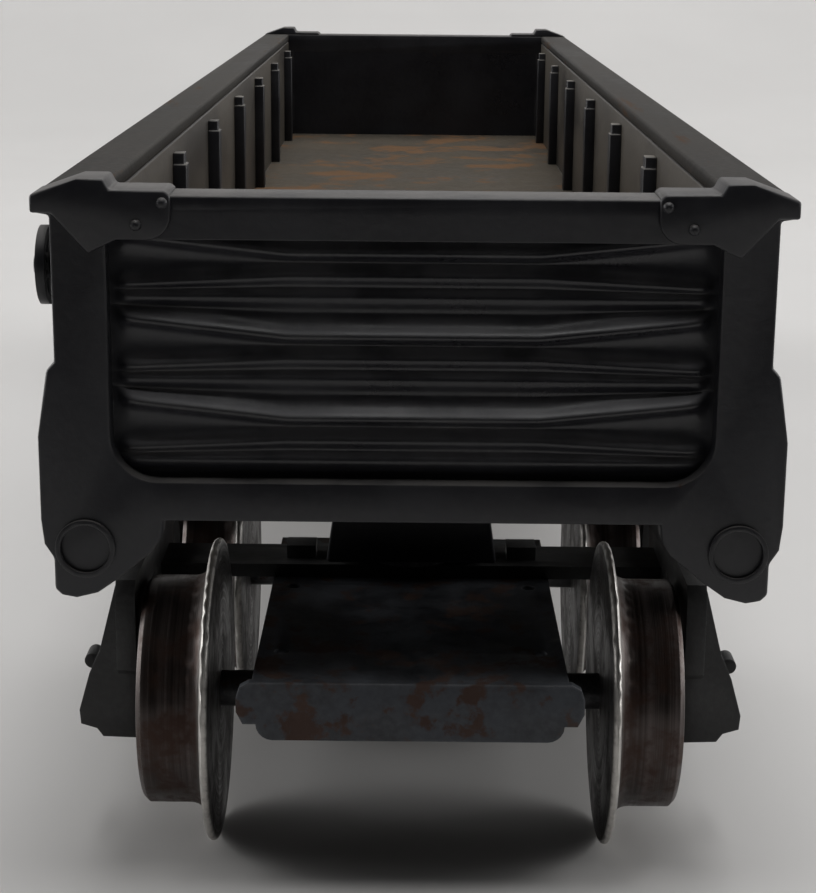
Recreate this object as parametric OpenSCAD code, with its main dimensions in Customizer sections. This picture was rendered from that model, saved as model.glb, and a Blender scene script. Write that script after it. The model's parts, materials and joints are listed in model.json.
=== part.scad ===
// Open toy railway gondola wagon on two four-wheel trucks.
// Z = 0 is the bottom of the wheel flanges, Y runs along the wagon and the front end is at -Y.
// The rear end and the rear truck are the front ones turned half a turn about Z.

/* [Body] */
// Length over the two end frames
body_l = 236; // [190:1:300]
// Width over the flat side panels
body_w = 52.6; // [50:0.1:66]
// Height of the top face of the side rails
rim_top = 55.3; // [48:0.1:70]
// Thickness of the side rails
rim_t = 1.3; // [0.8:0.1:2.5]
// How far the side rails overhang the side panels
rim_over = 1.3; // [0.4:0.1:1.5]
// Thickness of a side panel
wall_t = 3.1; // [2.2:0.1:4]
// Height of the floor's top face
floor_top = 37.2; // [36:0.1:42]
// Thickness of the floor plate
floor_t = 1.2; // [0.8:0.1:2]
// Bays along a side, with one stake post in the middle of each
bays = 7; // [4:1:8]

/* [Sides] */
// Width of a stake post along the inner wall
stake_w = 2.4; // [1.6:0.1:4]
// How far a stake post stands into the load space
stake_d = 1.3; // [0.6:0.1:2]
// Distance from the rail's top face down to the top of a stake post
stake_drop = 2.3; // [1.8:0.1:4]
// Height of the narrower head of a stake post
stake_head_h = 1.1; // [0.6:0.1:2]
// Width of an outside post at its foot
post_foot = 3.6; // [2.4:0.1:5]
// Width of an outside post at its face
post_face = 2.2; // [1.2:0.1:2.4]
// How far an outside post stands proud of the panel
post_proud = 0.9; // [0.4:0.1:1.4]
// Height of the flange along the bottom of a side panel
flange_h = 1; // [0.6:0.1:2]

/* [Ends] */
// Depth of an end frame along the wagon
end_t = 4.3; // [3.4:0.1:6]
// Width of an end frame's corner posts
end_post_w = 4; // [3:0.1:6]
// Height of an end frame's top rail
end_rail_h = 3.2; // [2:0.1:5]
// Height of the underside of the end sill
sill_bottom = 31; // [30:0.1:33]
// Height of the end sill
sill_h = 3; // [1.6:0.1:3.4]
// Radius of the lower corners of the end panel
panel_corner = 3.4; // [2:0.1:5]
// How far the end panel's sheet lies behind the frame's face
panel_recess = 1.7; // [1.4:0.1:2.4]
// Height of a pressed ridge above the end panel's sheet
ridge_h = 1.3; // [0.6:0.1:1.4]
// Number of pressed groups of three ridges, one above the other
ridge_groups = 3; // [1:1:4]
// How far the lower half of a corner post flares outwards
flare = 1.4; // [0.6:0.1:2]
// Lowest point of the corner brackets
bracket_bottom = 24.9; // [24:0.1:26]
// Thickness of the corner brackets
bracket_t = 2.4; // [1.6:0.1:3.4]
// Outer radius of the ring on a corner bracket
ring_r = 2.25; // [1.6:0.05:2.3]
// Wall of that ring
ring_wall = 0.4; // [0.2:0.05:0.8]
// How far the corner caps stand in front of the end frame
cap_proud = 0.4; // [0.2:0.1:0.8]
// Height of a corner cap's crest above the side rail
cap_rise = 1.2; // [0.6:0.1:2]

/* [Underframe] */
// Width of the centre sill
centre_sill_w = 10; // [8:0.1:14]
// Sheet thickness of the centre sill
centre_sill_t = 1; // [0.6:0.1:1.6]
// Width of a cross bearer along the wagon
bearer_w = 2; // [1:0.1:4]
// Height of a body bolster's beam
body_bolster_h = 2.5; // [1.6:0.1:3]

/* [Brake wheel] */
// Radius of a brake wheel
brake_r = 3; // [2.2:0.1:3.6]
// Height of its centre
brake_z = 49.1; // [46:0.1:49.6]
// Distance from its centre to the outer face of the nearer end frame
brake_from_end = 7; // [4:0.1:10]
// Distance from the side panel to the wheel's outer face
brake_reach = 1.9; // [1.7:0.1:2.4]
// Radius of its spindle
spindle_r = 0.45; // [0.3:0.05:0.7]

/* [Wheels] */
// Distance between the backs of the two wheels on an axle
back_to_back = 31.4; // [28:0.1:34]
// Radius of the flange
flange_r = 12.5; // [11:0.1:12.7]
// Radius of the tread
tread_r = 9.4; // [8:0.1:10]
// Overall width of a wheel
wheel_w = 6; // [5:0.1:9]
// Width from the wheel's back to the root of the flange's fillet
flange_w = 2.3; // [2:0.1:4.6]
// Radius of the flange's rounded tip
tip_r = 0.35; // [0.2:0.05:0.5]
// Radius of the axle between the wheels
axle_r = 1.5; // [1:0.1:2]
// Radius of the axle's journals
journal_r = 0.9; // [0.6:0.05:1.2]
// Length of a journal
journal_l = 2.9; // [2:0.1:3]

/* [Trucks] */
// Distance from an end frame's face to the centre of its truck
truck_inset = 29.6; // [29.2:0.1:50]
// Distance between the two axles of a truck
wheelbase = 32; // [30:0.5:44]
// Height of the top face of the truck plate
plate_top = 18; // [17:0.1:18.6]
// Sheet thickness of the truck plate
plate_t = 0.8; // [0.5:0.1:1.2]
// Width of the truck plate
plate_w = 24.4; // [20:0.1:25]
// Distance from the outer axle to the face of the truck plate's apron
apron_reach = 13; // [12.7:0.1:15]
// Height of the apron below the plate's top face
apron_drop = 4.7; // [3:0.1:5]
// Width of the apron's ears
apron_w = 26.8; // [24:0.1:27]
// Radius of the small holes in the truck plate
plate_hole_r = 0.6; // [0.3:0.05:1]
// Height of the truck bolster
bolster_h = 1.2; // [1:0.1:2.6]
// Width of the truck bolster along the wagon
bolster_w = 6; // [5.6:0.1:9.6]
// Distance from the wheel's outer face to the side frame
side_gap = 0.5; // [0.3:0.1:1]
// Thickness of a side frame's web
web_t = 1.6; // [1.2:0.1:2.2]
// Height of a side frame's top edge
side_frame_top = 23; // [21.5:0.1:23.6]
// How far a journal box stands out from the side frame's inner face
box_reach = 4.9; // [4.6:0.1:6]
// Radius of the kingpin
kingpin_r = 1.6; // [1:0.1:2.2]

/* [Fits] */
// Radial clearance of each turning fit
clearance = 0.05; // [0.02:0.01:0.1]
// Gap between faces that turn past each other
face_gap = 0.1; // [0.05:0.05:0.3]

/* [Hidden] */
$fn = 48;

// Body
half_l = body_l / 2;
half_w = body_w / 2;
inner_l = body_l - 2 * end_t;
inner_hw = half_w - wall_t;
panel_top = rim_top - rim_t;
floor_bottom = floor_top - floor_t;
bay_pitch = body_l / bays;
stake_top = rim_top - stake_drop;
// How much less than the rest a stake post's head stands out
stake_step = 0.2;

// End frame and panel
frame_hw = half_w - end_post_w;
frame_top = rim_top - end_rail_h;
sill_top = sill_bottom + sill_h;
// Heights where the corner post starts to flare outwards and where the flare is full
flare_start = sill_bottom + 12;
flare_full = sill_bottom + 6.4;
// Ring on a corner bracket, and the bracket's reach inwards from it
ring_x = half_w - 1.9;
ring_z = bracket_bottom + 3.95;
ring_proud = 0.35;
bracket_half = 2.4;
bracket_reach = 5.8;
// Ridges of the end panel
ridge_inset = 0.8;
ridge_split = 9.3;
ridge_half = 1;
ridge_pitch = (frame_top - sill_top) / (ridge_groups - 0.06);

// Corner caps
cap_crest = rim_top + cap_rise;
gusset_rise = 0.4;
gusset_reach = 8.8;
gusset_end = half_w - gusset_reach;
rivet_r = 0.42;

// Underframe
centre_sill_bottom = floor_bottom - 3.9;
body_bolster_bottom = centre_sill_bottom - body_bolster_h;
pedestal_w = 13.6;
pedestal_d = 8.6;
bolster_top = plate_top + bolster_h;
washer_t = 0.5;
washer_r = 4;
washer_bottom = bolster_top + face_gap;
pedestal_bottom = washer_bottom + washer_t;
kingpin_top = pedestal_bottom + 7;
kingpin_head_r = 2.9;
kingpin_head_h = 1;

// Trucks
truck_y = half_l - truck_inset;
half_base = wheelbase / 2;
axle_z = flange_r;
wheel_back = back_to_back / 2;
wheel_face = wheel_back + wheel_w;
side_x = wheel_face + side_gap;
apron_y = half_base + apron_reach;
plate_inner_y = 9;
plate_hole_x = 10.3;
plate_hole_front = half_base + 6;
plate_hole_back = half_base - 10.5;
tab_t = 1.5;
tab_drop = bolster_h + 4.7;
boss_x = 9.85;
boss_w = 2.6;
boss_h = 1.2;
box_half = 3.2;
box_bottom = axle_z - 3.2;
box_top = axle_z + 5;
rib_t = 1;
rivet_z = plate_top - 2;
rivet_y = 2;
shank_r = 0.55;
seat_half = 4.8;
spring_r = 1.1;
spring_pitch = 3.1;
lug_r = 0.65;
lug_half = 1.1;

// Points on an arc about a centre
function arc(cx, cy, r, a0, a1, n = 8) =
    [for (i = [0:n]) [cx + r * cos(a0 + (a1 - a0) * i / n), cy + r * sin(a0 + (a1 - a0) * i / n)]];

// The same outline with its left half added
function both_sides(half) =
    concat(half, [for (i = [len(half) - 1:-1:0]) [-half[i][0], half[i][1]]]);

// A flat outline in X and Z, y0 to y0 + t
module slab(y0, t) {
    translate([0, y0 + t, 0])
        rotate([90, 0, 0])
            linear_extrude(t)
                children();
}

// A flat outline in Y and Z, x0 to x0 + t
module plate_yz(x0, t) {
    translate([x0, 0, 0])
        rotate([90, 0, 90])
            linear_extrude(t)
                children();
}

// A shape drawn along +Z, laid along +X from x0
module along_x(x0) {
    translate([x0, 0, 0])
        rotate([0, 90, 0])
            children();
}

// Front end as drawn, rear end turned half a turn
module at_end(rear) {
    rotate([0, 0, rear ? 180 : 0])
        children();
}

// A piece drawn for the right side, mirrored for the left
module on_side(left) {
    mirror([left ? 1 : 0, 0, 0])
        children();
}

module box_between(low, high) {
    translate(low)
        cube(high - low);
}

// ---- Body ----

// Middle of bay i along the wagon
function bay_y(i) = (i + 0.5) * bay_pitch - half_l;

// Plate with notches along its edges for the stake posts' feet
module floor_plate() {
    color("#6f6256")
        difference() {
            box_between([-inner_hw, -inner_l / 2, floor_bottom], [inner_hw, inner_l / 2, floor_top]);
            for (i = [0:bays - 1], left = [false, true])
                on_side(left)
                    translate([0, bay_y(i), 0])
                        box_between(
                            [inner_hw - stake_d, -stake_w / 2, floor_bottom - 1],
                            [inner_hw + 1, stake_w / 2, floor_top + 1]
                        );
        }
}

module centre_sill() {
    half = centre_sill_w / 2;
    color("#2b2d31")
        slab(-inner_l / 2, inner_l)
            polygon([
                [-half, floor_bottom], [-half, centre_sill_bottom], [half, centre_sill_bottom],
                [half, floor_bottom], [half - centre_sill_t, floor_bottom],
                [half - centre_sill_t, centre_sill_bottom + centre_sill_t],
                [-half + centre_sill_t, centre_sill_bottom + centre_sill_t],
                [-half + centre_sill_t, floor_bottom]
            ]);
}

module cross_bearers() {
    color("#2b2d31")
        for (i = [1:bays - 1], left = [false, true])
            on_side(left)
                translate([0, i * bay_pitch - half_l, 0])
                    box_between(
                        [centre_sill_w / 2, -bearer_w / 2, centre_sill_bottom + 0.4],
                        [inner_hw, bearer_w / 2, floor_bottom]
                    );
}

// Beam under the centre sill with the pedestal that the truck turns under
module body_bolster(rear) {
    color("#2b2d31")
        at_end(rear)
            translate([0, -truck_y, 0])
                difference() {
                    union() {
                        box_between(
                            [-inner_hw + 1, -pedestal_d / 2, body_bolster_bottom],
                            [inner_hw - 1, pedestal_d / 2, centre_sill_bottom]
                        );
                        slab(-pedestal_d / 2, pedestal_d)
                            polygon(both_sides([
                                [pedestal_w / 2, centre_sill_bottom], [pedestal_w / 2, pedestal_bottom + 5],
                                [pedestal_w / 2 + 0.7, pedestal_bottom]
                            ]));
                    }
                    translate([0, 0, pedestal_bottom - 1])
                        cylinder(r = kingpin_r, h = kingpin_top - pedestal_bottom + 1);
                }
}

module side_panel(left) {
    color("#26272b")
        on_side(left)
            slab(-inner_l / 2, inner_l)
                polygon([
                    [inner_hw, sill_bottom], [half_w + post_proud, sill_bottom],
                    [half_w + post_proud, sill_bottom + flange_h], [half_w, sill_bottom + flange_h],
                    [half_w, panel_top], [inner_hw, panel_top]
                ]);
}

module side_posts(left) {
    color("#26272b")
        on_side(left)
            for (i = [1:2 * bays - 1])
                translate([half_w, i * bay_pitch / 2 - half_l, sill_bottom + flange_h])
                    linear_extrude(panel_top - sill_bottom - flange_h)
                        polygon([
                            [0, -post_foot / 2], [post_proud, -post_face / 2],
                            [post_proud, post_face / 2], [0, post_foot / 2]
                        ]);
}

// Posts on the inner wall, each with a slightly narrower head
module stake_posts(left) {
    color("#4b463f")
        on_side(left)
            for (i = [0:bays - 1])
                translate([0, bay_y(i), 0]) {
                    box_between(
                        [inner_hw - stake_d, -stake_w / 2, floor_bottom],
                        [inner_hw, stake_w / 2, stake_top - stake_head_h]
                    );
                    box_between(
                        [inner_hw - stake_d + stake_step, -stake_w / 2 + stake_step, floor_bottom],
                        [inner_hw, stake_w / 2 - stake_step, stake_top]
                    );
                }
}

module top_rail(left) {
    color("#5a5650")
        on_side(left)
            box_between([inner_hw, -inner_l / 2, panel_top], [half_w + rim_over, inner_l / 2, rim_top]);
}

// ---- Ends ----

// Outline of the opening in an end frame, which the end panel fills
module panel_outline() {
    c = panel_corner;
    polygon(both_sides(concat(
        [[frame_hw, frame_top]],
        arc(frame_hw - c, sill_top + c, c, 0, -90)
    )));
}

module bracket_outline() {
    polygon([
        [ring_x - bracket_reach, sill_bottom], [ring_x - 5.7, sill_bottom - 1.3],
        [ring_x - 5, sill_bottom - 2.4], [ring_x - 2.5, bracket_bottom + 1.6],
        [ring_x - 0.8, bracket_bottom + 0.4], [ring_x + 0.8, bracket_bottom],
        [ring_x + 1.9, bracket_bottom + 0.2], [ring_x + bracket_half, bracket_bottom + 0.7],
        [ring_x + bracket_half, ring_z - 0.85], [half_w + flare - 0.2, sill_bottom - 1.9],
        [half_w + flare, sill_bottom]
    ]);
}

module end_frame(rear) {
    color("#222327")
        at_end(rear) {
            slab(-half_l, end_t)
                difference() {
                    polygon(both_sides([
                        [half_w + rim_over, rim_top], [half_w + rim_over, panel_top],
                        [half_w, panel_top - 0.2], [half_w, flare_start],
                        [half_w + 0.6, flare_start - 0.6], [half_w + flare, flare_full],
                        [half_w + flare, sill_bottom]
                    ]));
                    panel_outline();
                }
            for (left = [false, true])
                on_side(left)
                    slab(-half_l, bracket_t)
                        bracket_outline();
        }
}

// One pressed ridge through a list of [x, z] points, with a rounded three-sided section
module ridge(points, half) {
    shoulder = 0.7 * ridge_h;
    section = [[0, -half], [-shoulder, -0.45 * half], [-ridge_h, 0], [-shoulder, 0.45 * half], [0, half]];
    n = len(section);
    m = len(points);
    sheet_y = -half_l + panel_recess;
    vertices = [for (p = points, s = section) [p[0], sheet_y + 0.05 + s[0], p[1] + s[1]]];
    sides = [for (i = [0:m - 2], j = [0:n - 1])
        [i * n + j, i * n + (j + 1) % n, (i + 1) * n + (j + 1) % n, (i + 1) * n + j]];
    caps = [[for (j = [n - 1:-1:0]) j], [for (j = [0:n - 1]) (m - 1) * n + j]];
    polyhedron(vertices, concat(sides, caps), convexity = 4);
}

// Sheet that fills the frame's opening, pressed into groups of a lifting, a falling and a level ridge
module end_panel(rear) {
    reach = frame_hw - ridge_inset;
    color("#222327")
        at_end(rear) {
            slab(-half_l + panel_recess, end_t - panel_recess)
                panel_outline();
            intersection() {
                slab(-half_l, end_t)
                    panel_outline();
                for (g = [0:ridge_groups - 1]) {
                    level = sill_top + 1.4 + g * ridge_pitch;
                    ridge([[-reach, level + 4.9], [-ridge_split, level + 3.6], [ridge_split, level + 3.6],
                        [reach, level + 4.9]], ridge_half);
                    ridge([[-reach, level + 1.1], [-ridge_split, level + 1.75], [ridge_split, level + 1.75],
                        [reach, level + 1.1]], 0.78 * ridge_half);
                    ridge([[-reach, level], [reach, level]], 0.7 * ridge_half);
                }
            }
        }
}

// Head of a corner post: a shield on the face, a crest on top and a gusset on the end rail
module corner_cap(rear, left) {
    rim_x = half_w + rim_over;
    crest_out = half_w - 2.1;
    crest_in = half_w - 4;
    corner = 1.8;
    gusset_top = rim_top + gusset_rise;
    color("#222327")
        at_end(rear)
            on_side(left) {
                slab(-half_l - cap_proud, end_t + cap_proud)
                    polygon([
                        [rim_x, rim_top], [crest_out, cap_crest], [crest_in, cap_crest],
                        [crest_in - 0.4, gusset_top], [gusset_end + 0.4, gusset_top], [gusset_end, rim_top]
                    ]);
                slab(-half_l - cap_proud, cap_proud)
                    polygon(concat(
                        [[rim_x, rim_top], [gusset_end, rim_top]],
                        arc(gusset_end + corner, frame_top + corner, corner, 180, 270, 6),
                        [[half_w - 4.8, frame_top], [half_w - 2.8, frame_top - 1],
                            [half_w - 0.2, panel_top], [rim_x, panel_top]]
                    ));
            }
}

module bracket_rings() {
    color("#2b2d31")
        for (rear = [false, true], left = [false, true])
            at_end(rear)
                on_side(left)
                    translate([ring_x, -half_l, ring_z])
                        rotate([90, 0, 0])
                            difference() {
                                cylinder(r = ring_r, h = ring_proud);
                                translate([0, 0, -1])
                                    cylinder(r = ring_r - ring_wall, h = ring_proud + 2);
                            }
}

// Domed rivet head on a face that looks along -Y
module rivet_head(x, z) {
    translate([x, -half_l - cap_proud, z])
        rotate([90, 0, 0])
            rotate_extrude()
                polygon(concat([[0, 0]], arc(0, 0, rivet_r, 0, 90)));
}

module gusset_rivets() {
    color("#2b2d31")
        for (rear = [false, true], left = [false, true])
            at_end(rear)
                on_side(left) {
                    rivet_head(gusset_end + 0.6, rim_top - 0.5);
                    rivet_head(gusset_end + 2.5, frame_top + 1.1);
                }
}

module brake_spindle(rear) {
    collar_end = brake_reach - 0.75 - face_gap;
    color("#3a3c40")
        at_end(rear)
            translate([-half_w, -half_l + brake_from_end, brake_z])
                rotate([0, -90, 0]) {
                    cylinder(r = 2 * spindle_r, h = collar_end);
                    cylinder(r = spindle_r, h = brake_reach + face_gap + 0.4);
                    translate([0, 0, brake_reach + face_gap])
                        cylinder(r = 1.7 * spindle_r, h = 0.4);
                }
}

// Spoked hand wheel that turns on its spindle
module brake_wheel(rear) {
    rim_w = 0.6;
    disc_t = 0.7;
    hub_r = 2.2 * spindle_r;
    color("#2b2d31")
        at_end(rear)
            translate([-half_w - brake_reach + disc_t, -half_l + brake_from_end, brake_z])
                rotate([0, -90, 0])
                    difference() {
                        union() {
                            difference() {
                                cylinder(r = brake_r, h = disc_t);
                                translate([0, 0, -1])
                                    cylinder(r = brake_r - rim_w, h = disc_t + 2);
                            }
                            cylinder(r = hub_r, h = disc_t);
                            for (a = [0:60:120])
                                rotate([0, 0, a])
                                    translate([-brake_r + rim_w / 2, -0.25, 0.15])
                                        cube([2 * brake_r - rim_w, 0.5, 0.4]);
                        }
                        translate([0, 0, -1])
                            cylinder(r = spindle_r + clearance, h = disc_t + 2);
                    }
}

// ---- Trucks ----

module at_truck(rear) {
    at_end(rear)
        translate([0, -truck_y, 0])
            children();
}

module kingpin(rear) {
    head_top = plate_top - plate_t - face_gap;
    color("#55585c")
        at_truck(rear) {
            translate([0, 0, head_top])
                cylinder(r = kingpin_r, h = kingpin_top - head_top);
            translate([0, 0, head_top - kingpin_head_h])
                cylinder(r1 = 0.8 * kingpin_head_r, r2 = kingpin_head_r, h = kingpin_head_h);
        }
}

module pivot_washer(rear) {
    color("#55585c")
        at_truck(rear)
            translate([0, 0, washer_bottom])
                difference() {
                    cylinder(r = washer_r, h = washer_t);
                    translate([0, 0, -1])
                        cylinder(r = kingpin_r, h = washer_t + 2);
                }
}

// Bent sheet: flat plate over the outer axle and an apron turned down at its front
module truck_plate(rear) {
    half = plate_w / 2;
    ear = apron_w / 2;
    corner = 1.3;
    color("#5b6068")
        at_truck(rear)
            difference() {
                union() {
                    box_between([-half, -apron_y, plate_top - plate_t], [half, plate_inner_y, plate_top]);
                    slab(-apron_y, plate_t)
                        polygon(both_sides(concat(
                            [[ear - 1, plate_top], [ear - 0.3, plate_top - 0.4], [ear, plate_top - 1.3],
                                [ear, plate_top - 2.4], [ear - 0.5, plate_top - 3.4],
                                [half - 0.3, plate_top - 3.4]],
                            arc(half - 0.3 - corner, plate_top - apron_drop + corner, corner, 0, -90, 5)
                        )));
                }
                translate([0, 0, plate_top - plate_t - 1])
                    cylinder(r = kingpin_r + clearance, h = plate_t + 2);
                for (x = [-plate_hole_x, plate_hole_x], y = [-plate_hole_front, -plate_hole_back])
                    translate([x, y, plate_top - plate_t - 1])
                        cylinder(r = plate_hole_r, h = plate_t + 2);
            }
}

// Bar across the truck with a tab at each end for the side frames
module truck_bolster(rear) {
    half = bolster_w / 2;
    color("#2b2d31")
        at_truck(rear)
            difference() {
                union() {
                    box_between([-side_x, -half, plate_top], [side_x, half, bolster_top]);
                    for (left = [false, true])
                        on_side(left) {
                            box_between(
                                [side_x - tab_t, -half, bolster_top - tab_drop],
                                [side_x, half, bolster_top]
                            );
                            box_between(
                                [boss_x - boss_w / 2, -boss_w / 2, bolster_top],
                                [boss_x + boss_w / 2, boss_w / 2, bolster_top + boss_h]
                            );
                        }
                }
                translate([0, 0, plate_top - 1])
                    cylinder(r = kingpin_r + clearance, h = bolster_h + 2);
                for (left = [false, true], y = [-rivet_y, rivet_y])
                    on_side(left)
                        translate([0, y, rivet_z])
                            along_x(side_x - tab_t - 1)
                                cylinder(r = shank_r, h = tab_t + 2);
            }
}

// Side frame outline in Y and Z: an arched top bar, journal jaws and a dropped lower bar
module side_frame_outline() {
    jaw = half_base + box_half + 0.8;
    polygon(both_sides([
        [jaw - 0.6, side_frame_top], [jaw, side_frame_top - 1.2],
        [jaw, box_top - 2], [half_base + box_half, box_top - 2.6], [half_base + box_half, box_bottom + 1],
        [half_base - box_half, box_bottom + 1], [half_base - box_half - 0.4, axle_z],
        [7.8, box_bottom - 0.6]
    ]));
}

module side_frame_windows() {
    for (s = [-1, 1])
        polygon([
            [s * 6.2, side_frame_top - 3], [s * (half_base - 5.6), side_frame_top - 3],
            [s * (half_base - 4.6), box_top],
            [s * (half_base - 4.6), axle_z + 1.4], [s * 7.6, box_bottom + 1.8], [s * 6.2, box_bottom + 1.8]
        ]);
}

module side_frame(rear, left) {
    outer = side_x + web_t;
    spring_z = box_bottom + 1.2;
    spring_top = plate_top - 4;
    color("#1d1e20")
        at_truck(rear)
            on_side(left)
                difference() {
                    union() {
                        plate_yz(side_x, web_t)
                            difference() {
                                side_frame_outline();
                                side_frame_windows();
                                translate([-seat_half, spring_z])
                                    square([2 * seat_half, spring_top - spring_z]);
                            }
                        // Raised bars along the top and the bottom
                        plate_yz(outer, 0.6 * rib_t)
                            polygon(both_sides([
                                [half_base - box_half - 1, side_frame_top - 0.5],
                                [half_base - box_half - 1, side_frame_top - 2.2]
                            ]));
                        plate_yz(outer, rib_t)
                            polygon(both_sides([
                                [7, spring_z], [half_base - box_half, axle_z - 0.4],
                                [half_base - box_half, axle_z - 2], [7.6, box_bottom - 0.4]
                            ]));
                        // Block over the bolster's end, and the springs between it and the lower bar
                        plate_yz(outer, rib_t)
                            translate([-seat_half, spring_top])
                                square([2 * seat_half, bolster_top - spring_top]);
                        for (y = [-spring_pitch, 0, spring_pitch])
                            translate([side_x + spring_r + 0.2, y, spring_z - 0.2])
                                cylinder(r = spring_r, h = spring_top - spring_z + 0.4);
                        // Sloping pedestals with a journal box below and the lug of its lid
                        for (y = [-half_base, half_base]) {
                            slab(y - box_half, 2 * box_half)
                                polygon([
                                    [side_x, box_bottom], [side_x + 3, box_bottom + 0.1],
                                    [side_x + 3.5, box_bottom + 0.8],
                                    [side_x + box_reach - 0.1, box_bottom + 1.2],
                                    [side_x + box_reach, box_bottom + 2.4],
                                    [side_x + box_reach - 0.9, box_bottom + 5.6],
                                    [side_x + 3.1, box_bottom + 7.6], [side_x + 1.7, side_frame_top - 0.6],
                                    [side_x, side_frame_top - 0.6]
                                ]);
                            translate([side_x + box_reach - 0.85, y + lug_half, box_bottom + 5.9])
                                rotate([90, 0, 0])
                                    cylinder(r = lug_r, h = 2 * lug_half);
                        }
                    }
                    for (y = [-half_base, half_base])
                        translate([0, y, axle_z])
                            along_x(side_x - 1)
                                cylinder(r = journal_r + clearance, h = journal_l + 1);
                    for (y = [-rivet_y, rivet_y])
                        translate([0, y, rivet_z])
                            along_x(side_x - 1)
                                cylinder(r = shank_r, h = web_t + rib_t + 2);
                }
}

module frame_rivets(rear) {
    grip = tab_t + web_t + rib_t;
    head_h = 0.5;
    color("#55585c")
        at_truck(rear)
            for (left = [false, true], y = [-rivet_y, rivet_y])
                on_side(left)
                    translate([0, y, rivet_z])
                        along_x(side_x - tab_t - head_h) {
                            cylinder(r = shank_r, h = grip + 2 * head_h);
                            cylinder(r = 1.8 * shank_r, h = head_h);
                            translate([0, 0, grip + head_h])
                                cylinder(r1 = 1.8 * shank_r, r2 = 1.2 * shank_r, h = head_h);
                        }
}

// Axle number 1 is at the front end, number 4 at the rear end
function axle_y(n) = (n < 3 ? -1 : 1) * truck_y + (n % 2 == 1 ? -1 : 1) * half_base;

module axle(n) {
    reach = wheel_face + journal_l - 0.2 + side_gap;
    color("#6d6f72")
        translate([0, axle_y(n), axle_z]) {
            along_x(-wheel_face)
                cylinder(r = axle_r, h = 2 * wheel_face);
            along_x(-reach)
                cylinder(r = journal_r, h = 2 * reach);
        }
}

// Turned wheel: flat back, thin rounded flange, hollow fillet, flat tread and a dished face
module wheel(n, left) {
    fillet = flange_w - 2 * tip_r;
    land = tread_r + fillet;
    dish = 1.4;
    hub_r = axle_r + 2;
    color("#5a4a42")
        translate([0, axle_y(n), axle_z])
            on_side(left)
                along_x(wheel_back)
                    rotate_extrude($fn = 96)
                        polygon(concat(
                            [[axle_r, 0]],
                            arc(flange_r - tip_r, tip_r, tip_r, -90, 80, 6),
                            arc(land, flange_w, fillet, 250, 180, 6),
                            [[tread_r, wheel_w - 0.4], [tread_r - 0.4, wheel_w], [tread_r - 1.5, wheel_w],
                                [tread_r - 2, wheel_w - dish], [hub_r + 0.4, wheel_w - dish], [hub_r, wheel_w],
                                [axle_r, wheel_w]]
                        ));
}

floor_plate();
centre_sill();
cross_bearers();
body_bolster(false);  // body_bolster_front
body_bolster(true);  // body_bolster_rear
side_panel(true);  // side_panel_left
side_panel(false);  // side_panel_right
side_posts(true);  // side_posts_left
side_posts(false);  // side_posts_right
stake_posts(true);  // stake_posts_left
stake_posts(false);  // stake_posts_right
top_rail(true);  // top_rail_left
top_rail(false);  // top_rail_right
end_frame(false);  // end_frame_front
end_frame(true);  // end_frame_rear
end_panel(false);  // end_panel_front
end_panel(true);  // end_panel_rear
corner_cap(false, true);  // corner_cap_front_left
corner_cap(false, false);  // corner_cap_front_right
corner_cap(true, false);  // corner_cap_rear_left
corner_cap(true, true);  // corner_cap_rear_right
bracket_rings();
gusset_rivets();
kingpin(false);  // kingpin_front
kingpin(true);  // kingpin_rear
pivot_washer(false);  // pivot_washer_front
pivot_washer(true);  // pivot_washer_rear
brake_spindle(false);  // brake_spindle_left
brake_spindle(true);  // brake_spindle_right
brake_wheel(false);  // brake_wheel_left
brake_wheel(true);  // brake_wheel_right
truck_plate(false);  // truck_plate_front
truck_plate(true);  // truck_plate_rear
truck_bolster(false);  // truck_bolster_front
truck_bolster(true);  // truck_bolster_rear
side_frame(false, true);  // side_frame_front_left
side_frame(false, false);  // side_frame_front_right
side_frame(true, false);  // side_frame_rear_left
side_frame(true, true);  // side_frame_rear_right
frame_rivets(false);  // frame_rivets_front
frame_rivets(true);  // frame_rivets_rear
axle(1);  // axle_1
axle(2);  // axle_2
axle(3);  // axle_3
axle(4);  // axle_4
wheel(1, true);  // wheel_1_left
wheel(1, false);  // wheel_1_right
wheel(2, true);  // wheel_2_left
wheel(2, false);  // wheel_2_right
wheel(3, true);  // wheel_3_left
wheel(3, false);  // wheel_3_right
wheel(4, true);  // wheel_4_left
wheel(4, false);  // wheel_4_right
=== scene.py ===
import json
from math import pi, radians
import bmesh
import bpy
from mathutils import Matrix, Vector


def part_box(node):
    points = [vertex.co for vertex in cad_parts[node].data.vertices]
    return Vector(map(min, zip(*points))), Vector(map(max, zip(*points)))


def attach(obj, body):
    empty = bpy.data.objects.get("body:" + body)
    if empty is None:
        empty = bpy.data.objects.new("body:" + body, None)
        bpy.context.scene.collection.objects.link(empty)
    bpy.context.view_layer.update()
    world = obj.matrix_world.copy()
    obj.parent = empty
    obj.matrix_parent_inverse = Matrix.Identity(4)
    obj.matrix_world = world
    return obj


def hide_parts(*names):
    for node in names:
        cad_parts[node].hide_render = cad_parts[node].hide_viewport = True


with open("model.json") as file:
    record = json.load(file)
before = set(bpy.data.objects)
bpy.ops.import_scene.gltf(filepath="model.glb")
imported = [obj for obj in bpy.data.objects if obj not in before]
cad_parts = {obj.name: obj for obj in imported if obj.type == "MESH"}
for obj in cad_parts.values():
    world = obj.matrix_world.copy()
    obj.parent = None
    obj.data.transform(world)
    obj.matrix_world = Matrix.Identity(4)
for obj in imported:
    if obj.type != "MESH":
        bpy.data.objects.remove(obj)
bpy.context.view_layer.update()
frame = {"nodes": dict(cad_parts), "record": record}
nodes = frame["nodes"]
mm = 0.001

# The front end frame's face sets where the camera and the end panels go
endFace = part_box("end_frame_front")[0].y
print("frame loaded:", len(nodes), "nodes")


# Camera

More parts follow.
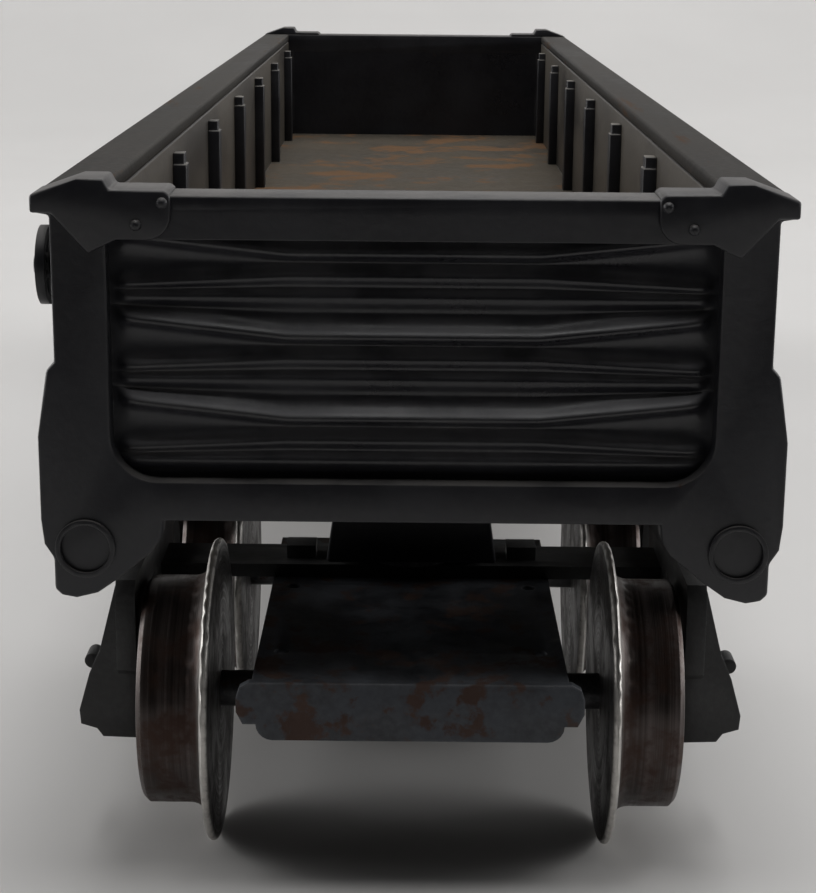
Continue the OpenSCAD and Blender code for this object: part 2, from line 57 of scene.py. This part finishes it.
view = {
    "lens": 80.6, "ahead": 142.9 * mm, "height": 73.7 * mm, "side": -0.2 * mm,
    "down": 14.43, "roll": 0.52, "turn": 0.06,
}


def makeCamera(settings):
    data = bpy.data.cameras.new("camera")
    data.lens = settings["lens"]
    data.sensor_width = 36
    data.clip_start = 0.005
    data.clip_end = 20
    camera = bpy.data.objects.new("camera", data)
    bpy.context.scene.collection.objects.link(camera)
    place = Matrix.Translation((settings["side"], endFace - settings["ahead"], settings["height"]))
    turn = Matrix.Rotation(radians(settings["turn"]), 4, "Z")
    tilt = Matrix.Rotation(radians(90 - settings["down"]), 4, "X")
    roll = Matrix.Rotation(radians(settings["roll"]), 4, "Z")
    camera.matrix_world = place @ turn @ tilt @ roll
    bpy.context.scene.camera = camera


makeCamera(view)


def only(piece):
    bpy.ops.object.select_all(action="DESELECT")
    piece.select_set(True)
    bpy.context.view_layer.objects.active = piece


def finishModifiers(piece):
    only(piece)
    for modifier in list(piece.modifiers):
        bpy.ops.object.modifier_apply(modifier=modifier.name)


# Materials

def newMaterial(name):
    material = bpy.data.materials.new(name)
    material.use_nodes = True
    material.node_tree.nodes.clear()
    return material


def addNode(tree, kind, values=None, links=None):
    node = tree.nodes.new(kind)
    for key, value in (values or {}).items():
        if hasattr(node, key):
            setattr(node, key, value)
        else:
            node.inputs[key].default_value = value
    for key, source in (links or {}).items():
        tree.links.new(source, node.inputs[key])
    return node


def noise(tree, coords, scale, detail=4.0, roughness=0.55, stretch=(1, 1, 1), place=(0, 0, 0)):
    mapped = addNode(tree, "ShaderNodeMapping", {"Scale": stretch, "Location": place}, {"Vector": coords})
    texture = addNode(tree, "ShaderNodeTexNoise", {"Scale": scale, "Detail": detail, "Roughness": roughness},
                      {"Vector": mapped.outputs["Vector"]})
    return texture.outputs["Fac"]


def remap(tree, value, low, high, bottom=0.0, top=1.0):
    node = addNode(tree, "ShaderNodeMapRange", {"interpolation_type": "SMOOTHSTEP"}, {"Value": value})
    node.inputs["From Min"].default_value = low
    node.inputs["From Max"].default_value = high
    node.inputs["To Min"].default_value = bottom
    node.inputs["To Max"].default_value = top
    return node.outputs["Result"]


def math(tree, operation, first, second):
    node = addNode(tree, "ShaderNodeMath", {"operation": operation})
    for index, value in enumerate((first, second)):
        if isinstance(value, (int, float)):
            node.inputs[index].default_value = value
        else:
            tree.links.new(value, node.inputs[index])
    return node.outputs["Value"]


def mixColour(tree, factor, first, second):
    node = addNode(tree, "ShaderNodeMix", {"data_type": "RGBA"}, {"Factor": factor})
    for socket, value in (("A", first), ("B", second)):
        target = [s for s in node.inputs if s.name == socket and s.type == "RGBA"][0]
        if isinstance(value, tuple):
            target.default_value = (*value, 1)
        else:
            tree.links.new(value, target)
    return [s for s in node.outputs if s.type == "RGBA"][0]


def edgeMask(tree, radius):
    bevel = addNode(tree, "ShaderNodeBevel", {"samples": 4, "Radius": radius})
    geometry = addNode(tree, "ShaderNodeNewGeometry")
    dot = addNode(tree, "ShaderNodeVectorMath", {"operation": "DOT_PRODUCT"})
    tree.links.new(bevel.outputs["Normal"], dot.inputs[0])
    tree.links.new(geometry.outputs["Normal"], dot.inputs[1])
    return remap(tree, dot.outputs["Value"], 0.995, 0.85)


def upMask(tree):
    geometry = addNode(tree, "ShaderNodeNewGeometry")
    parts = addNode(tree, "ShaderNodeSeparateXYZ", links={"Vector": geometry.outputs["Normal"]})
    return parts.outputs["Z"]


# Old paint with patches, dust on what faces up (on the pressed end panels mostly a painted highlight), rubbed
# edges and rust specks
def paintedMetal(name, look):
    material = newMaterial(name)
    tree = material.node_tree
    coords = addNode(tree, "ShaderNodeTexCoord").outputs["Object"]
    stretch = look.get("stretch", (1, 1, 1))
    patches = noise(tree, coords, look["patchScale"], 5, 0.6, stretch)
    grain = noise(tree, coords, look["grainScale"], 3, 0.6)
    colour = mixColour(tree, remap(tree, patches, 0.35, 0.68), look["dark"], look["light"])
    if "inside" in look:
        sideways = addNode(tree, "ShaderNodeSeparateXYZ", links={"Vector": coords}).outputs["X"]
        within = math(tree, "LESS_THAN", math(tree, "ABSOLUTE", sideways, 0), look["inside"])
        within = math(tree, "MULTIPLY", within, remap(tree, patches, 0.3, 0.6, 0.35, look["insideMix"]))
        colour = mixColour(tree, within, colour, look["insideColour"])
    speckle = remap(tree, grain, 0.3, 0.75)
    colour = mixColour(tree, math(tree, "MULTIPLY", speckle, look["grainMix"]), colour, look["grainColour"])
    # What faces up turns towards the dust colour: real dust, and on the pressed end panels a painted
    # highlight on the ridge slopes
    dustAndHighlightMask = remap(tree, upMask(tree), look["dustAndHighlightFrom"], 1.0)
    dustAndHighlightPatches = noise(tree, coords, look["patchScale"] * 2.3, 4)
    dustAndHighlightMask = math(tree, "MULTIPLY", dustAndHighlightMask, remap(tree, dustAndHighlightPatches, 0.3, 0.6, 0.35, 1))
    colour = mixColour(tree, math(tree, "MULTIPLY", dustAndHighlightMask, look["dustAndHighlight"]), colour, look["dustAndHighlightColour"])
    rubbed = math(tree, "MULTIPLY", edgeMask(tree, look["edge"]), remap(tree, patches, 0.38, 0.62, 0.1, 1))
    colour = mixColour(tree, math(tree, "MULTIPLY", rubbed, look["wear"]), colour, look["wearColour"])
    rustNoise = noise(tree, coords, look["rustScale"], 6, 0.65, stretch, (0.7, 0.2, 0.4))
    rust = remap(tree, rustNoise, look["rustFrom"], look["rustFrom"] + 0.08)
    colour = mixColour(tree, math(tree, "MULTIPLY", rust, look["rust"]), colour, look["rustColour"])
    rough = math(tree, "ADD", remap(tree, patches, 0.3, 0.7, look["roughLow"], look["roughHigh"]),
                 math(tree, "MULTIPLY", math(tree, "ADD", rust, dustAndHighlightMask), 0.18))
    height = math(tree, "ADD", math(tree, "MULTIPLY", grain, 0.5), math(tree, "MULTIPLY", rustNoise, 0.5))
    bump = addNode(tree, "ShaderNodeBump", {"Strength": look["bump"], "Distance": 0.00012},
                   {"Height": height})
    shader = addNode(tree, "ShaderNodeBsdfPrincipled", {"Metallic": look.get("metallic", 0.0)},
                     {"Base Color": colour, "Roughness": rough, "Normal": bump.outputs["Normal"]})
    shader.inputs["Specular IOR Level"].default_value = look.get("specular", 0.5)
    addNode(tree, "ShaderNodeOutputMaterial", links={"Surface": shader.outputs["BSDF"]})
    return material


# Turned metal: streaks that run round each wheelset's own axle, rust in patches, bright worn edges and
# painted shade on the back faces
def turnedMetal(name, look):
    material = newMaterial(name)
    tree = material.node_tree
    coords = addNode(tree, "ShaderNodeTexCoord").outputs["Object"]
    parts = addNode(tree, "ShaderNodeSeparateXYZ", links={"Vector": coords})
    alongTruck = math(tree, "SUBTRACT", math(tree, "ABSOLUTE", parts.outputs["Y"], 0), look["truckAt"])
    across = math(tree, "SUBTRACT", math(tree, "ABSOLUTE", alongTruck, 0), look["halfBase"])
    up = math(tree, "SUBTRACT", parts.outputs["Z"], look["axleHeight"])
    squares = math(tree, "ADD", math(tree, "MULTIPLY", across, across), math(tree, "MULTIPLY", up, up))
    radius = math(tree, "SQRT", squares, 0)
    turned = addNode(tree, "ShaderNodeCombineXYZ", links={"X": parts.outputs["X"], "Y": radius})
    streaks = noise(tree, turned.outputs["Vector"], look["streakScale"], 4, 0.7)
    patches = noise(tree, coords, look["patchScale"], 5, 0.65)
    grain = noise(tree, coords, look["grainScale"], 3, 0.6)
    colour = mixColour(tree, remap(tree, streaks, 0.35, 0.7), look["dark"], look["light"])
    rust = math(tree, "MULTIPLY", remap(tree, patches, look["rustFrom"], look["rustFrom"] + 0.2),
                remap(tree, grain, 0.25, 0.6, 0.5, 1))
    colour = mixColour(tree, math(tree, "MULTIPLY", rust, look["rust"]), colour, look["rustColour"])
    fromMiddle = math(tree, "ABSOLUTE", parts.outputs["X"], 0)
    outward = remap(tree, fromMiddle, look["back"] + 0.00008, look["back"] + 0.0003)
    onFlange = math(tree, "MULTIPLY", remap(tree, radius, look["root"], look["root"] + 0.0009), outward)
    polish = math(tree, "MULTIPLY", onFlange, remap(tree, patches, 0.3, 0.6, 0.6, 1))
    colour = mixColour(tree, math(tree, "MULTIPLY", polish, look["flange"]), colour, look["flangeColour"])
    # The back faces, which turn in under the truck, get a near-black painted shade
    backShade = math(tree, "MULTIPLY", math(tree, "SUBTRACT", 1, outward), 0.85)
    colour = mixColour(tree, backShade, colour, look["backShadeColour"])
    nearTip = remap(tree, radius, look["tip"] - 0.0004, look["tip"])
    worn = math(tree, "MAXIMUM", nearTip, edgeMask(tree, look["edge"]))
    worn = math(tree, "MULTIPLY", worn, remap(tree, grain, 0.25, 0.6, 0.4, 1))
    colour = mixColour(tree, math(tree, "MULTIPLY", worn, look["wear"]), colour, look["wearColour"])
    rough = math(tree, "ADD", remap(tree, streaks, 0.3, 0.7, look["roughLow"], look["roughHigh"]),
                 math(tree, "MULTIPLY", rust, 0.25))
    height = math(tree, "ADD", math(tree, "MULTIPLY", streaks, 0.7), math(tree, "MULTIPLY", patches, 0.3))
    bump = addNode(tree, "ShaderNodeBump", {"Strength": look["bump"], "Distance": 0.0001}, {"Height": height})
    shader = addNode(tree, "ShaderNodeBsdfPrincipled", {"Metallic": look["metallic"]},
                     {"Base Color": colour, "Roughness": rough, "Normal": bump.outputs["Normal"]})
    addNode(tree, "ShaderNodeOutputMaterial", links={"Surface": shader.outputs["BSDF"]})
    return material


blackPaint = {
    "dark": (0.009, 0.009, 0.0115), "light": (0.017, 0.0175, 0.021), "patchScale": 90, "grainScale": 1400,
    "grainMix": 0.3, "grainColour": (0.026, 0.025, 0.028), "dustAndHighlight": 0.45, "dustAndHighlightColour": (0.16, 0.15, 0.14),
    "dustAndHighlightFrom": 0.25, "edge": 0.00035, "wear": 0.4, "wearColour": (0.1, 0.096, 0.092), "rustScale": 420,
    "rustFrom": 0.68, "rust": 0.7, "rustColour": (0.04, 0.018, 0.01), "roughLow": 0.34, "roughHigh": 0.5,
    "bump": 0.35, "specular": 0.4,
}
wallPaint = {
    **blackPaint, "inside": 0.02325, "insideColour": (0.085, 0.072, 0.054), "insideMix": 0.75,
    "stretch": (1, 0.3, 1),
}
wornRail = {
    "dark": (0.014, 0.0133, 0.0125), "light": (0.032, 0.0295, 0.027), "patchScale": 160, "grainScale": 1500,
    "grainMix": 0.3, "grainColour": (0.06, 0.056, 0.052), "dustAndHighlight": 0.12, "dustAndHighlightColour": (0.2, 0.185, 0.17),
    "dustAndHighlightFrom": 0.3, "edge": 0.0004, "wear": 0.7, "wearColour": (0.24, 0.23, 0.21), "rustScale": 300,
    "rustFrom": 0.6, "rust": 0.5, "rustColour": (0.09, 0.045, 0.022), "roughLow": 0.5, "roughHigh": 0.7,
    "bump": 0.6, "stretch": (1, 0.15, 1), "specular": 0.12,
}
# The end panels' pale bluish tone on all up-facing ridge slopes is partly dust and partly a painted highlight
panelPaint = {
    **blackPaint, "dustAndHighlight": 0.85, "dustAndHighlightColour": (0.15, 0.148, 0.155), "dustAndHighlightFrom": 0.02, "wear": 0.6,
    "edge": 0.0006, "roughLow": 0.26, "roughHigh": 0.42,
}
stakePaint = {**blackPaint, "dustAndHighlight": 0.8, "dustAndHighlightColour": (0.19, 0.175, 0.15), "wear": 0.6}
rustyFloor = {
    "dark": (0.034, 0.027, 0.018), "light": (0.064, 0.05, 0.034), "patchScale": 60, "grainScale": 1200,
    "grainMix": 0.4, "grainColour": (0.115, 0.098, 0.078), "dustAndHighlight": 0.2, "dustAndHighlightColour": (0.11, 0.1, 0.085),
    "dustAndHighlightFrom": 0.5, "edge": 0.0004, "wear": 0.4, "wearColour": (0.2, 0.2, 0.2), "rustScale": 90,
    "rustFrom": 0.5, "rust": 0.8, "rustColour": (0.15, 0.08, 0.038), "roughLow": 0.5, "roughHigh": 0.75,
    "bump": 0.5, "specular": 0.22,
}
bluedSheet = {
    "dark": (0.018, 0.02, 0.024), "light": (0.042, 0.047, 0.056), "patchScale": 220, "grainScale": 1600,
    "grainMix": 0.3, "grainColour": (0.07, 0.075, 0.085), "dustAndHighlight": 0.05, "dustAndHighlightColour": (0.08, 0.075, 0.07),
    "dustAndHighlightFrom": 0.5, "edge": 0.0003, "wear": 0.5, "wearColour": (0.2, 0.2, 0.21), "rustScale": 260,
    "rustFrom": 0.52, "rust": 0.85, "rustColour": (0.05, 0.022, 0.012), "roughLow": 0.35, "roughHigh": 0.6,
    "bump": 0.5, "metallic": 0.4,
}
truckBlack = {
    "dark": (0.007, 0.0072, 0.0075), "light": (0.015, 0.015, 0.015), "patchScale": 140, "grainScale": 1800,
    "grainMix": 0.4, "grainColour": (0.03, 0.03, 0.03), "dustAndHighlight": 0.06, "dustAndHighlightColour": (0.1, 0.1, 0.095),
    "dustAndHighlightFrom": 0.2, "edge": 0.0003, "wear": 0.4, "wearColour": (0.1, 0.1, 0.1), "rustScale": 500,
    "rustFrom": 0.7, "rust": 0.5, "rustColour": (0.05, 0.025, 0.014), "roughLow": 0.45, "roughHigh": 0.65,
    "bump": 0.5,
}
bareSteel = {
    "dark": (0.08, 0.08, 0.085), "light": (0.2, 0.2, 0.21), "patchScale": 300, "grainScale": 2200,
    "grainMix": 0.3, "grainColour": (0.3, 0.3, 0.3), "dustAndHighlight": 0.2, "dustAndHighlightColour": (0.15, 0.14, 0.13),
    "dustAndHighlightFrom": 0.4, "edge": 0.0002, "wear": 0.6, "wearColour": (0.5, 0.5, 0.5), "rustScale": 400,
    "rustFrom": 0.58, "rust": 0.7, "rustColour": (0.09, 0.04, 0.02), "roughLow": 0.3, "roughHigh": 0.5,
    "bump": 0.4, "metallic": 0.85,
}
wheelLow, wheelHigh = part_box("wheel_1_left")
innerWheelLow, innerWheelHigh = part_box("wheel_2_left")
frontAxle = (wheelLow.y + wheelHigh.y) / 2
innerAxle = (innerWheelLow.y + innerWheelHigh.y) / 2
wheelSteel = {
    "dark": (0.035, 0.027, 0.024), "light": (0.1, 0.082, 0.078), "patchScale": 240, "grainScale": 1500,
    "streakScale": 2600, "rustFrom": 0.42, "rust": 0.75, "rustColour": (0.045, 0.02, 0.012),
    "edge": 0.0003, "wear": 0.85, "wearColour": (0.55, 0.53, 0.5), "roughLow": 0.28, "roughHigh": 0.5,
    "bump": 0.5, "metallic": 0.7,
    "truckAt": -(frontAxle + innerAxle) / 2, "halfBase": (innerAxle - frontAxle) / 2,
    "axleHeight": wheelHigh.z / 2, "tip": wheelHigh.z / 2,
    "root": 0.0098, "back": min(abs(wheelLow.x), abs(wheelHigh.x)), "flange": 0.8,
    # The back colour is painted shade for the wheels' inner faces under the truck
    "flangeColour": (0.42, 0.41, 0.39), "backShadeColour": (0.012, 0.0115, 0.011),
}
finishes = {
    "black_paint": paintedMetal("blackPaint", blackPaint), "worn_rail": paintedMetal("wornRail", wornRail),
    "rusty_floor": paintedMetal("rustyFloor", rustyFloor),
    "blued_sheet": paintedMetal("bluedSheet", bluedSheet),
    "truck_black": paintedMetal("truckBlack", truckBlack),
    "bare_steel": paintedMetal("bareSteel", bareSteel),
    "wheel_steel": turnedMetal("wheelSteel", wheelSteel),
}
ownFinishes = {
    "side_panel": paintedMetal("wallPaint", wallPaint), "stake": paintedMetal("stakePaint", stakePaint),
    "end_panel": paintedMetal("panelPaint", panelPaint),
}
nodeSlots = {part["node"]: part["material_slot"] for part in frame["record"]["subparts"]}
nodeBodies = {n: body for body, members in frame["record"]["behaviour"]["bodies"].items() for n in members}
print("materials made:", len(finishes))


# Dressed copies of the frame's parts

edgeRadius = {
    "floor_plate": 0.0, "side_panel": 0.18, "side_posts": 0.2, "stake": 0.15, "top_rail": 0.3,
    "end_frame": 0.22, "corner_cap": 0.22, "bracket_rings": 0.08, "gusset_rivets": 0.0, "truck_plate": 0.15,
    "truck_bolster": 0.2, "side_frame": 0.25, "wheel": 0.06, "axle": 0.1, "brake_wheel": 0.12,
    "brake_spindle": 0.06, "kingpin": 0.15, "pivot_washer": 0.08, "frame_rivets": 0.06, "centre_sill": 0.2,
    "cross_bearers": 0.15, "body_bolster": 0.25, "end_panel": 0.15,
}


def kindOf(node):
    return max((kind for kind in edgeRadius if node.startswith(kind)), key=len)


# A welded copy of one frame part with rounded edges, which stands for it
def dressed(node, radius):
    piece = bpy.data.objects.new(node + "_skin", nodes[node].data.copy())
    bpy.context.scene.collection.objects.link(piece)
    only(piece)
    bpy.ops.object.mode_set(mode="EDIT")
    bpy.ops.mesh.select_all(action="SELECT")
    bpy.ops.mesh.remove_doubles(threshold=0.000002)
    bpy.ops.mesh.dissolve_limited(angle_limit=radians(0.5))
    bpy.ops.object.mode_set(mode="OBJECT")
    if radius > 0:
        rounding = piece.modifiers.new("rounding", "BEVEL")
        rounding.width = radius * mm
        rounding.segments = 2
        rounding.angle_limit = radians(28)
        finishModifiers(piece)
    only(piece)
    bpy.ops.object.shade_smooth_by_angle(angle=radians(32))
    piece.data.materials.clear()
    claim(piece, node)


# The piece takes a node's finish, body and place in the assembly
def claim(piece, node):
    piece.data.materials.append(ownFinishes.get(kindOf(node), finishes[nodeSlots[node]]))
    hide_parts(node)
    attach(piece, nodeBodies[node])


modelledHere = ("end_panel",)
for node in nodes:
    if kindOf(node) not in modelledHere:
        dressed(node, edgeRadius[kindOf(node)])
print("frame parts dressed")


# Pressed end panels: one sheet whose rows are pushed out into ridges that part towards the posts

endPanel = {
    "sheet": 1.7, "groups": 3, "pitch": 6.156, "first": 1.4, "split": 9.3, "reach": 21.5,
    "fullTo": 21, "edgeDepth": 0.6,
    "columns": (0, 5, 8.7, 9.3, 10, 14, 18, 20.7, 21.3, 21.8, 22.5),
    "rows": (
        (-1.0, 0.35, 0.0), (-0.4, 0.05, 0.45), (0.05, 0, 0.66), (0.45, -0.1, 0.5), (0.85, -0.3, 0.18),
        (1.25, -0.55, 0.6), (1.65, -0.65, 0.85), (2.1, -0.7, 0.5), (2.5, -0.7, 0.1), (2.75, 1.2, 0.1),
        (3.05, 1.3, 1.0), (3.4, 1.3, 1.32), (3.75, 1.3, 1.05), (4.1, 1.25, 0.5), (4.6, 0.85, 0.2),
    ),
}


# Moves some vertices of the mesh in edit mode
def push(mesh, vertices, shift):
    bpy.ops.mesh.select_all(action="DESELECT")
    for vertex in vertices:
        vertex.select_set(True)
    bpy.ops.transform.translate(value=shift)


def pressedSheet(settings):
    low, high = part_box("end_panel_front")
    columns = sorted({side * x for x in settings["columns"] for side in (-1, 1)})
    rows = [(low.z / mm, 0, 0)]
    for group in range(settings["groups"]):
        start = low.z / mm + settings["first"] + group * settings["pitch"]
        rows += [(start + level, rise, depth) for level, rise, depth in settings["rows"]]
    rows.append((rows[-1][0] + 0.5, 0, 0))
    bpy.ops.object.select_all(action="DESELECT")
    bpy.ops.mesh.primitive_grid_add(x_subdivisions=len(columns) - 1, y_subdivisions=len(rows) - 1, size=1)
    panel = bpy.context.object
    bpy.ops.object.mode_set(mode="EDIT")
    bpy.ops.transform.translate(value=(0.5, 0.5, 0))
    bpy.ops.transform.resize(value=(len(columns) - 1, len(rows) - 1, 1), center_override=(0, 0, 0))
    mesh = bmesh.from_edit_mesh(panel.data)
    grid = {(round(v.co.x), round(v.co.y)): v for v in mesh.verts}
    for row, (level, rise, depth) in enumerate(rows):
        place = (0, endFace + settings["sheet"] * mm - row, level * mm)
        push(mesh, [grid[step, row] for step in range(len(columns))], place)
    for step, x in enumerate(columns):
        push(mesh, [grid[step, row] for row in range(len(rows))], (x * mm - step, 0, 0))
        spread = max(0, (abs(x) - settings["split"]) / (settings["reach"] - settings["split"]))
        fade = 1 if abs(x) < settings["fullTo"] else settings["edgeDepth"]
        fade = fade if abs(x) < settings["reach"] else 0
        for row, (level, rise, depth) in enumerate(rows):
            if rise * spread or depth * fade:
                push(mesh, [grid[step, row]], (0, -depth * fade * mm, rise * spread * mm))
    bpy.ops.object.mode_set(mode="OBJECT")
    smooth = panel.modifiers.new("smooth", "SUBSURF")
    smooth.levels = 2
    smooth.render_levels = 2
    finishModifiers(panel)
    bpy.ops.object.mode_set(mode="EDIT")
    bpy.ops.mesh.select_all(action="DESELECT")
    bpy.ops.mesh.select_mode(type="EDGE")
    mesh = bmesh.from_edit_mesh(panel.data)
    for edge in mesh.edges:
        edge.select_set(edge.is_boundary)
    bpy.ops.mesh.extrude_edges_move(TRANSFORM_OT_translate={"value": (0, 0.001, 0)})
    bpy.ops.transform.resize(value=(1, 0, 1), center_override=(0, high.y - 0.00002, 0))
    bpy.ops.mesh.edge_face_add()
    bpy.ops.mesh.select_mode(type="VERT")
    bpy.ops.mesh.select_all(action="SELECT")
    bpy.ops.mesh.normals_make_consistent(inside=False)
    bpy.ops.object.mode_set(mode="OBJECT")
    only(panel)
    bpy.ops.object.shade_smooth_by_angle(angle=radians(50))
    return panel


frontPanel = pressedSheet(endPanel)
only(frontPanel)
bpy.ops.object.duplicate()
rearPanel = bpy.context.object
bpy.ops.object.mode_set(mode="EDIT")
bpy.ops.mesh.select_all(action="SELECT")
bpy.ops.transform.rotate(value=pi, orient_axis="Z", center_override=(0, 0, 0))
bpy.ops.object.mode_set(mode="OBJECT")
for panel, end in ((frontPanel, "front"), (rearPanel, "rear")):
    panel.name = "pressed_panel_" + end
    claim(panel, "end_panel_" + end)
print("end panels pressed")


# Floor, backdrop and light

stageSet = {"half": 1.6, "back": 0.9, "front": -0.27, "rise": 1.2, "colour": (0.56, 0.55, 0.54),
            "curve": 0.5, "curveSteps": 24}


def makeBackdrop(settings):
    bpy.ops.object.select_all(action="DESELECT")
    depth = settings["back"] - settings["front"]
    bpy.ops.mesh.primitive_plane_add(size=1, location=(0, 0, 0))
    backdrop = bpy.context.object
    backdrop.name = "backdrop"
    bpy.ops.object.mode_set(mode="EDIT")
    bpy.ops.transform.resize(value=(2 * settings["half"], depth, 1))
    bpy.ops.transform.translate(value=(0, settings["front"] + depth / 2, 0))
    bpy.ops.mesh.select_all(action="DESELECT")
    bpy.ops.object.mode_set(mode="OBJECT")
    for edge in backdrop.data.edges:
        edge.select = all(backdrop.data.vertices[i].co.y > settings["back"] - 0.01 for i in edge.vertices)
    bpy.ops.object.mode_set(mode="EDIT")
    bpy.ops.mesh.extrude_region_move(TRANSFORM_OT_translate={"value": (0, 0, settings["rise"])})
    bpy.ops.object.mode_set(mode="OBJECT")
    curve = backdrop.modifiers.new("curve", "BEVEL")
    curve.width = settings["curve"]
    curve.segments = settings["curveSteps"]
    curve.angle_limit = radians(40)
    finishModifiers(backdrop)
    bpy.ops.object.shade_smooth()
    material = newMaterial("paleSweep")
    tree = material.node_tree
    coords = addNode(tree, "ShaderNodeTexCoord").outputs["Object"]
    mottling = noise(tree, coords, 9, 3)
    paler = tuple(c * 1.05 for c in settings["colour"])
    colour = mixColour(tree, remap(tree, mottling, 0.3, 0.7), settings["colour"], paler)
    shader = addNode(tree, "ShaderNodeBsdfPrincipled", {"Roughness": 0.7}, {"Base Color": colour})
    addNode(tree, "ShaderNodeOutputMaterial", links={"Surface": shader.outputs["BSDF"]})
    backdrop.data.materials.append(material)


makeBackdrop(stageSet)

# A dark card before the end face leaves that side unlit, as the rest of the room is bright
cardSet = {"at": -0.36, "half": 1.1, "bottom": -0.02, "top": 0.85}


def makeCard(settings):
    bpy.ops.object.select_all(action="DESELECT")
    bpy.ops.mesh.primitive_grid_add(x_subdivisions=4, y_subdivisions=4, size=1)
    card = bpy.context.object
    card.name = "dark_card"
    height = settings["top"] - settings["bottom"]
    bpy.ops.object.mode_set(mode="EDIT")
    bpy.ops.transform.resize(value=(2 * settings["half"], height, 1))
    bpy.ops.transform.rotate(value=pi / 2, orient_axis="X", center_override=(0, 0, 0))
    bpy.ops.transform.translate(value=(0, settings["at"], settings["bottom"] + height / 2))
    bpy.ops.object.mode_set(mode="OBJECT")
    material = newMaterial("darkCard")
    shader = addNode(material.node_tree, "ShaderNodeBsdfDiffuse", {"Color": (0.01, 0.01, 0.01, 1)})
    addNode(material.node_tree, "ShaderNodeOutputMaterial", links={"Surface": shader.outputs["BSDF"]})
    card.data.materials.append(material)


makeCard(cardSet)

lamps = {
    "overhead": {"place": (0.15, 0.3, 0.95), "target": (0, 0.15, 0), "size": 0.9, "power": 4.5},
    "rightSide": {"place": (0.8, 0.12, 0.2), "target": (0, -0.03, 0), "size": 0.5, "power": 4},
    "leftSide": {"place": (-0.8, 0.12, 0.2), "target": (0, -0.03, 0), "size": 0.5, "power": 4},
    "overEnd": {"place": (0, -0.165, 0.7), "target": (0, -0.165, 0), "size": 0.25, "power": 1.3},
}


def addLamp(name, settings):
    data = bpy.data.lights.new(name, "AREA")
    data.size = settings["size"]
    data.energy = settings["power"]
    lamp = bpy.data.objects.new(name, data)
    bpy.context.scene.collection.objects.link(lamp)
    lamp.location = settings["place"]
    aim = Vector(settings["target"]) - Vector(settings["place"])
    lamp.rotation_euler = aim.to_track_quat("-Z", "Y").to_euler()


for name, settings in lamps.items():
    addLamp(name, settings)

world = bpy.data.worlds.new("room")
world.use_nodes = True
world.node_tree.nodes["Background"].inputs["Color"].default_value = (1, 1, 1, 1)
world.node_tree.nodes["Background"].inputs["Strength"].default_value = 0.5
bpy.context.scene.world = world
bpy.context.scene.view_settings.view_transform = "Standard"
print("stage and light ready")
